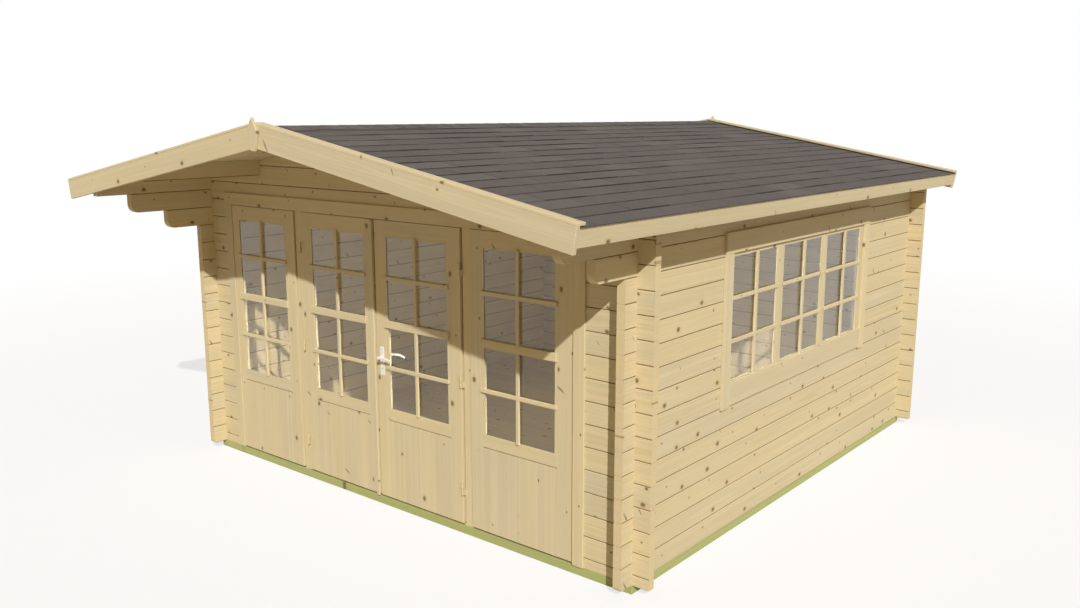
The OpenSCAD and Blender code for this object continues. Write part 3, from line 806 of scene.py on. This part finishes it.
def glazedRows(u, z, g, gz, front, paneIn, bars, upright, panel):
    # u, z: edges of the leaf; g, gz: edges of its pane; v grows from the outer face inwards.
    # A thin lip meets the pane, the frame behind it stands back by the rebate, and the lattice lies on
    # the face.
    (u0, u1), (z0, z1), (g0, g1), (gz0, gz1) = u, z, g, gz
    back = front + glazing["depth" if panel else "sashDepth"]
    lip = front + paneIn + glazing["paneT"] + 0.001
    most = 1 - glazing["leastStile"]
    past = min(glazing["rebate"], most * (g0 - u0), most * (u1 - g1))
    h0, h1 = g0 - past, g1 + past
    low, high = glazing["groove"] if panel else (z0, z0)
    rows = [(u0, h0, front, back, z0, z1, 2), (h1, u1, front, back, z0, z1, 2),
            (h0, h1, front, lip, gz1, z1, 0), (h0, h1, lip, back, gz1 + past, z1, 0),
            (h0, h1, front, lip, high, gz0, 0), (h0, h1, lip, back, high, gz0 - past, 0)]
    fine = [(a, b, front, lip, gz0, gz1, 2) for a, b in ((h0, g0), (g1, h1))]
    if panel:
        fine += [(*ends, front, back, z0, low, 2) for ends in stripes(h0, h1, glazing["panels"])]
        tongue = glazing["tongue"]    # it joins the panel to the rail over it, inside both
        rows.append((h0, h1, front + glazing["grooveDepth"], back - glazing["tongueBack"],
                     low - tongue, high + tongue, 0))
    t = glazing["lattice"]
    middle, half = (g0 + g1) / 2, upright / 2
    lattice = [(g0 - t["lap"], g1 + t["lap"], front - t["out"], front, a, b, 0) for a, b in bars]
    cuts = [gz0 - t["endLap"] / 2] + [edge for bar in bars for edge in bar] + [gz1 + t["endLap"]]
    for a, b in zip(cuts[::2], cuts[1::2]):
        lattice.append((middle - half, middle + half, front - t["out"] + 0.0003, front, a, b, 2))
    return ((rows, 0.0009), (fine, 0.0004), (lattice, t["bevel"]))


def glazedParts(place, *sizes):
    return [planks([turnBoard(r, place) for r in rows], bevel) for rows, bevel in glazedRows(*sizes)]


door = {
    "x": -0.077, "glassWide": 0.548,
    "post": (0.786, 0.860), "postIn": 0.010, "slot": (0.008, 0.036),    # slot: how wide, how deep
    "opening": (-1.658, 1.714), "jamb": 0.038, "head": (1.979, 2.0105), "threshold": (0.025, 0.008),
    "casing": {"x": (-1.691, 1.747), "wide": 0.080, "headWide": 0.090, "thick": 0.014, "thin": 0.007,
               "low": 0.058, "top": 1.978},
    "astragal": {"x": (-0.036, -0.012), "z": (0.060, 1.970), "out": 0.014, "round": 0.004},
}


def glazedDoors():
    bars, upright = glazing["doorBars"], glazing["lattice"]["upright"]
    paneLow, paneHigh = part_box("sidelight_glass")
    wide = door["glassWide"]
    sets = [("leafLeft", "left_leaf", "left_leaf", *[v.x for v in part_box("left_leaf_glass")]),
            ("leafRight", "right_leaf", "right_leaf", *[v.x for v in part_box("right_leaf_glass")]),
            ("sidelightLeft", "root", "sidelight_left", paneLow.x, paneLow.x + wide),
            ("sidelightRight", "root", "sidelight_right", paneHigh.x - wide, paneHigh.x)]
    for name, body, node, g0, g1 in sets:
        low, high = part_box(node)
        parts = glazedParts(None, (low.x, high.x), (low.z, high.z), (g0, g1), (paneLow.z, paneHigh.z),
                            house["frontY"], glazing["doorPaneIn"], bars, upright, True)
        joineryPiece(name, parts, node, body)


def doorFrame():
    x, y, d = door["x"], house["frontY"], door
    back = y + house["wall"]
    foot, head = house["bearerTop"] + 0.0005, d["head"][0] - 0.001
    inner, height = d["threshold"]
    top = house["bearerTop"] + height + 0.0005       # the posts stand on the threshold behind
    o0, o1 = d["opening"][0] + 0.001, d["opening"][1] - 0.001
    jamb = d["jamb"] - 0.002
    rows = []
    slot, deep = d["slot"]
    for a, b, front in ((-d["post"][1], -d["post"][0], d["postIn"]), (*d["post"], d["postIn"]),
                        (o0, o0 + jamb, 0), (o1 - jamb, o1, 0)):
        cutIn = slot if front else 0      # a groove along the left edge of the two inner posts
        rows.append((x + a + cutIn, x + b, y + front, y + deep, top, head, 2))
        rows.append((x + a, x + b, y + deep, back, top, head, 2))
        rows.append((x + a, x + b, y + front, y + inner - 0.001, foot, top, 2))
    rows.append((x + o0, x + o1, y, back, *d["head"], 0))
    rows.append((x + o0, x + o1, y + inner, back, house["bearerTop"], top - 0.0005, 0))
    joineryPiece("doorFrame", [planks(rows, 0.0008)], "door_frame")
    c = d["casing"]
    x0, x1, y0 = x + c["x"][0], x + c["x"][1], y - c["thick"]
    rows = [(x0, x1, y0, y, c["top"], c["top"] + c["headWide"], 0)]
    for a, thick in ((x0, c["thin"]), (x1 - c["wide"], c["thick"])):
        rows.append((a, a + c["wide"], y - thick, y, c["low"], c["top"] - 0.001, 2))
    joineryPiece("doorCasing", [planks(rows, 0.002)], "door_casing")


def doorAstragal():
    # a flat bar with two rounded outer edges: the outline in x and y, swept up the leaf
    a = door["astragal"]
    (x0, x1), r = [door["x"] + edge for edge in a["x"]], a["round"]
    y1 = house["frontY"] - 0.0001
    y0 = house["frontY"] - a["out"]
    turn = np.linspace(0, math.pi / 2, 5)
    left = np.stack([x0 + r - r * np.cos(turn), y0 + r - r * np.sin(turn)], 1)
    right = np.stack([x1 - r + r * np.sin(turn), y0 + r - r * np.cos(turn)], 1)
    outline = np.concatenate([left, right, [[x1, y1], [x0, y1]]])
    joineryPiece("leafAstragal", [prism(outline, *a["z"], 2, 0.001)], "door_astragal", "left_leaf")


glazedDoors()
doorFrame()
doorAstragal()
print("doors, sidelights and their frame hung")


fittings = {
    "hingeX": 0.783, "hingeY": house["frontY"] - 0.009, "hingeR": 0.007, "hingeHalf": 0.039,
    "hingeZs": (0.300, 1.010, 1.720), "flags": {"leaf": 0.036, "post": 0.015}, "flagT": 0.003,
    "spindle": (-0.027, 1.053), "plateZ": 1.025, "plate": (0.038, 0.200, 0.0050), "plateRound": 0.007,
    "keyholeZ": 0.975, "stand": 0.044, "leverLength": 0.131, "leverBend": 0.014, "leafT": 0.042,
    # collars on the plates: radius of the hole, outer radius, height
    "collar": (0.0095, 0.0145, 0.0030), "keyhole": (0.0048, 0.0082, 0.0014),
    "plateScrews": 0.084, "flagScrews": (0.009, 0.029), "flagScrewOut": 0.024, "spindlePast": 0.018,
}


def screwHead(centre, axis, away, r=0.0032):
    # a low dome: radius r cos(a), height 0.35 r sin(a)
    a = np.linspace(0, 0.46 * math.pi, 5)
    profile = np.stack([r * np.cos(a), away * 0.35 * r * np.sin(a)], 1)
    return lofted(turned(profile, centre, axis, 12))


def hinges():
    # the upper half of each knuckle turns with its leaf and the lower half stays on the post
    f = fittings
    r, h, thick = f["hingeR"], f["hingeHalf"], f["flagT"]
    y1 = house["frontY"] - 0.0001
    posts, leaves = [], {-1: [], 1: []}

    def knuckle(x, low, high):
        rim = [(r * 0.55, low), (r - 0.0012, low + 0.0004), (r, low + 0.0016),
               (r, high - 0.0016), (r - 0.0012, high - 0.0004), (r * 0.55, high)]
        return lofted(turned(rim, (x, f["hingeY"], 0), 2))

    for side, leaf in leaves.items():
        x = door["x"] + side * f["hingeX"]
        for z in f["hingeZs"]:
            low, high = z - h, z - 0.001
            posts.append(knuckle(x, low, high))
            near, far = sorted((x + side * 0.003, x + side * f["flags"]["post"]))
            flat = sorted((x, near if side > 0 else far))
            posts.append(planks([(*flat, y1 - thick, y1, low, high, 2),
                                 (near, far, y1 - thick, y1 + door["postIn"], low, high, 2)], 0.0006))
            low, high = z + 0.001, z + h
            leaf.append(knuckle(x, low, high))
            flat = sorted((x, x - side * f["flags"]["leaf"]))
            leaf.append(planks([(*flat, y1 - thick, y1, low, high, 2)], 0.0006))
            for dz in f["flagScrews"]:
                leaf.append(screwHead((x - side * f["flagScrewOut"], y1 - thick, low + dz), 1, -1))
    for name, parts, body, node in (("hingesPosts", posts, "root", "door_hinge_posts"),
                                    ("hingesLeft", leaves[-1], "left_leaf", "left_leaf_hinges"),
                                    ("hingesRight", leaves[1], "right_leaf", "right_leaf_hinges")):
        piece(name, parts, zinc, body, [node], smooth=35)


def plates():
    f = fittings
    w, h, t = f["plate"]
    x = f["spindle"][0]
    front, back = house["frontY"] - 0.0001, house["frontY"] + f["leafT"] + 0.0001
    outline = roundedRectangle(h, w, f["plateRound"]) + [f["plateZ"], x]      # z first, then x
    parts, shadeDiscs = [], []
    for y0, away in ((front, -1), (back, 1)):
        y1 = y0 + away * t
        a, b = sorted((y0, y1))
        parts.append(prism(outline, a, b, 1, 0.0016))
        for z, (rIn, rOut, up) in ((f["spindle"][1], f["collar"]), (f["keyholeZ"], f["keyhole"])):
            rim = np.array([(rIn, 0), (rOut, 0), (rOut, up * 0.6), (rOut - 0.001, up),
                            (rIn + 0.0006, up), (rIn, up * 0.7)])
            rim[:, 1] = y1 + away * (rim[:, 1] - 0.0002)
            parts.append(closedLoop(turned(rim, (x, 0, z), 1)))
        for dz in (-f["plateScrews"], f["plateScrews"]):
            parts.append(screwHead((x, y1, f["plateZ"] + dz), 1, away))
        # a dark disc inside each keyhole's collar: painted shade standing in for the hole
        a, b = sorted((y1 + away * 0.0001, y1 + away * 0.0004))
        hole = f["keyhole"][0]
        shadeDiscs.append(lofted(turned([(hole, a), (hole, b)], (x, 0, f["keyholeZ"]), 1)))
    piece("handlePlates", parts, whiteCoat, "right_leaf", ["door_plates"], smooth=40)
    piece("keyholeShadeDiscs", shadeDiscs, keyholeShade, "right_leaf")


def leverShape(away):
    # Middle line: straight out of the leaf, a quarter turn of radius bend, then along the leaf with a
    # soft rise and fall. Round it runs an ellipse whose two half widths change from the neck to the tip.
    f = fittings
    x0, z0 = f["spindle"]
    faceY = house["frontY"] if away < 0 else house["frontY"] + f["leafT"]
    out, bend, length = f["stand"] + 0.0065, f["leverBend"], f["leverLength"] - 0.004
    n1, n2, n3 = 4, 8, 26             # points along the neck, the turn and the run
    neck = np.linspace(0.0055, out - bend, n1)
    turn = np.linspace(0, math.pi / 2, n2 + 1)[1:]
    run = np.linspace(bend, length, n3 + 1)[1:]
    dx = np.concatenate([np.zeros(n1), bend - bend * np.cos(turn), run])
    dy = np.concatenate([neck, out - bend + bend * np.sin(turn), np.full(n3, out)])
    t = np.clip((dx - bend) / (length - bend), 0, 1)
    dy = dy - 0.004 * t ** 2
    dz = 0.006 * np.sin(math.pi * t * 0.9) - 0.007 * t ** 2
    middle = np.stack([x0 + dx, faceY + away * dy, z0 + dz], 1)
    ahead = np.gradient(middle, axis=0)
    ahead /= np.linalg.norm(ahead, axis=1)[:, None]
    up = np.array([0, 0, 1.0]) - ahead * ahead[:, 2:3]
    up /= np.linalg.norm(up, axis=1)[:, None]
    side = np.cross(ahead, up)
    tip = np.sqrt(np.clip(1 - np.clip((t - 0.94) / 0.06, 0, 1) ** 2, 0.03, 1))
    halfUp = (0.0080 + 0.0018 * np.clip(dx / 0.03, 0, 1) - 0.0018 * t ** 2) * tip
    halfSide = (0.0080 - 0.0022 * np.clip(dx / 0.03, 0, 1) - 0.0008 * t) * tip
    angle = roundAngles(20)
    rings = (middle[:, None] + up[:, None] * (halfUp[:, None] * np.sin(angle))[..., None]
             + side[:, None] * (halfSide[:, None] * np.cos(angle))[..., None])
    return lofted(rings)


def levers():
    f = fittings
    piece("leverPair", [leverShape(-1), leverShape(1)], whiteCoat, "lever", ["door_levers"],
          smooth=60)
    x, z = f["spindle"]
    y0, y1 = house["frontY"] - f["spindlePast"], house["frontY"] + f["leafT"] + f["spindlePast"]
    rim = [(0.0062, y0), (0.0072, y0 + 0.001), (0.0072, y1 - 0.001), (0.0062, y1)]
    piece("leverSpindle", [lofted(turned(rim, (x, 0, z), 1))], zinc, "lever",
          ["door_spindle"], smooth=40)


hinges()
plates()
levers()
print("hinges, plates and levers fitted")


window = {
    "shift": -0.019, "field": 0.685, "pane": 0.580, "sashZ": (1.002, 1.858), "gap": 0.0005,
    "frameHalf": 1.054, "jamb": 0.030, "headTop": 1.943,
    "casing": {"thick": 0.020, "side": 0.090, "head": (1.827, 1.957), "sill": (0.868, 1.016),
               "foot": 0.854},
}


def sideWindow():
    w = window
    paneLow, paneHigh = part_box("window_glass")
    caseLow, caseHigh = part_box("window_casing")
    middle = (caseLow.y + caseHigh.y) / 2
    place = (house["sideX"], middle)
    end = w["frameHalf"] - w["jamb"]
    edges = [-end, -w["field"] / 2 + w["shift"], w["field"] / 2 + w["shift"], end]
    sashes = []

    def fit(name, rows, bevel, node):
        joineryPiece(name, [planks([turnBoard(r, place) for r in rows], bevel)], node)

    for n in range(3):
        g0 = (n - 1) * w["field"] + w["shift"] - w["pane"] / 2
        sashes += glazedParts(place, (edges[n] + w["gap"], edges[n + 1] - w["gap"]), w["sashZ"],
                              (g0, g0 + w["pane"]), (paneLow.z, paneHigh.z), 0.0, glazing["windowPaneIn"],
                              glazing["windowBars"], glazing["windowUpright"], False)
    joineryPiece("windowSashes", sashes, "window_sashes")
    z0, z1 = w["sashZ"]
    f, wall = w["frameHalf"], house["wall"]
    rows = [(-f, -f + w["jamb"], 0, wall, z0, z1, 2), (f - w["jamb"], f, 0, wall, z0, z1, 2),
            (-f, f, 0, wall, z1 + 0.001, w["headTop"], 0), (-f, f, 0, wall, z0 - 0.002, z0 - 0.001, 0)]
    fit("windowFrame", rows, 0.0003, "window_frame")
    c = w["casing"]
    half = (caseHigh.y - caseLow.y) / 2
    inner = half - c["side"]
    rows = [(-half, half, -c["thick"], 0, *c["head"], 0),
            (-inner + 0.001, inner - 0.001, -c["thick"], 0, *c["sill"], 0)]
    for a, b in ((-half, -inner), (inner, half)):
        rows.append((a, b, -c["thick"], 0, c["foot"], c["head"][0] - 0.001, 2))
    fit("windowCasing", rows, 0.002, "window_casing")


sideWindow()
print("side window fitted")


studio = {
    "ambient": (0.29, 0.226, 0.146, 1), "sun": 3.5, "sunSpread": 0.8, "sunWay": (-0.6227, 0.5514, -0.5556),
    # daylight that has bounced about the room: power, colour, where its lamp stands and how big it is
    "glow": 10.0, "glowColour": (1.0, 0.86, 0.66), "glowPlace": (0, 0.4, 1.5), "glowSize": 0.5,
    "floor": 60.0, "floorColour": (0.50, 0.44, 0.34, 1), "seenFloor": (0.92, 0.92, 0.92, 1),
    "fade": (5.0, 13.0), "lift": 0.72,
    "lens": 32.832, "place": (4.8655, -5.9276, 2.6529), "yaw": 0.6896, "down": 0.191,
}


def studioFloor():
    # a round floor just under the bearers, which fades into the white far away from the cabin
    sides = 96
    angle = roundAngles(sides)
    rim = np.stack([np.cos(angle) * studio["floor"], np.sin(angle) * studio["floor"],
                    np.full(sides, -0.0006)], 1)
    mesh = bpy.data.meshes.new("studioFloor")
    mesh.from_pydata(rim.tolist(), [], [list(range(sides))])
    made, tree, shader = newMaterial("studioFloor")
    path = add(tree, "LightPath").node
    seen = maths(tree, "MAXIMUM", path.outputs["Is Camera Ray"], path.outputs["Is Glossy Ray"])
    colour = mixed(tree, seen, studio["floorColour"], studio["seenFloor"])
    fill(tree, shader, {"Base Color": colour, "Roughness": 1.0, "Specular IOR Level": 0.0})
    glow = add(tree, "Emission")
    where = add(tree, "TexCoord", out=3)
    reach = add(tree, "VectorMath", {0: where}, out=1, operation="LENGTH")
    far = ramp(tree, reach, *studio["fade"], studio["lift"], 1.0)
    showBoth(tree, times(tree, far, seen), shader.outputs[0], glow)
    mesh.materials.append(made)
    floor = placed("studioFloor", mesh)


def lampAt(name, kind, energy):
    lamp = bpy.data.lights.new(name, kind)
    lamp.energy = energy
    return lamp, placed(name, lamp)


def studioLight():
    world = bpy.data.worlds.new("studio")
    bpy.context.scene.world = world
    world.use_nodes = True
    tree = world.node_tree
    path = add(tree, "LightPath").node
    seen = path.outputs["Is Transmission Ray"]
    for ray in ("Is Glossy Ray", "Is Camera Ray"):
        seen = maths(tree, "MAXIMUM", path.outputs[ray], seen)
    fill(tree, tree.nodes["Background"],
         {"Color": mixed(tree, seen, studio["ambient"], (1, 1, 1, 1)), "Strength": 1.0})
    sun, key = lampAt("key", "SUN", studio["sun"])
    sun.angle = math.radians(studio["sunSpread"])
    key.rotation_euler = Vector(studio["sunWay"]).to_track_quat("-Z", "Y").to_euler()
    glow, room = lampAt("roomGlow", "POINT", studio["glow"])
    glow.color, glow.shadow_soft_size = studio["glowColour"], studio["glowSize"]
    room.location = studio["glowPlace"]
    room.visible_camera = room.visible_glossy = room.visible_transmission = False
    bpy.context.scene.view_settings.view_transform = "Standard"


def studioCamera():
    lens = bpy.data.cameras.new("view")
    lens.lens = studio["lens"]
    lens.sensor_width = 36.0
    lens.clip_end = 200.0
    seat = placed("view", lens)
    seat.location = studio["place"]
    seat.rotation_euler = (math.pi / 2 - studio["down"], 0, studio["yaw"])
    bpy.context.scene.camera = seat


studioFloor()
studioLight()
studioCamera()
print("floor, light and camera set")
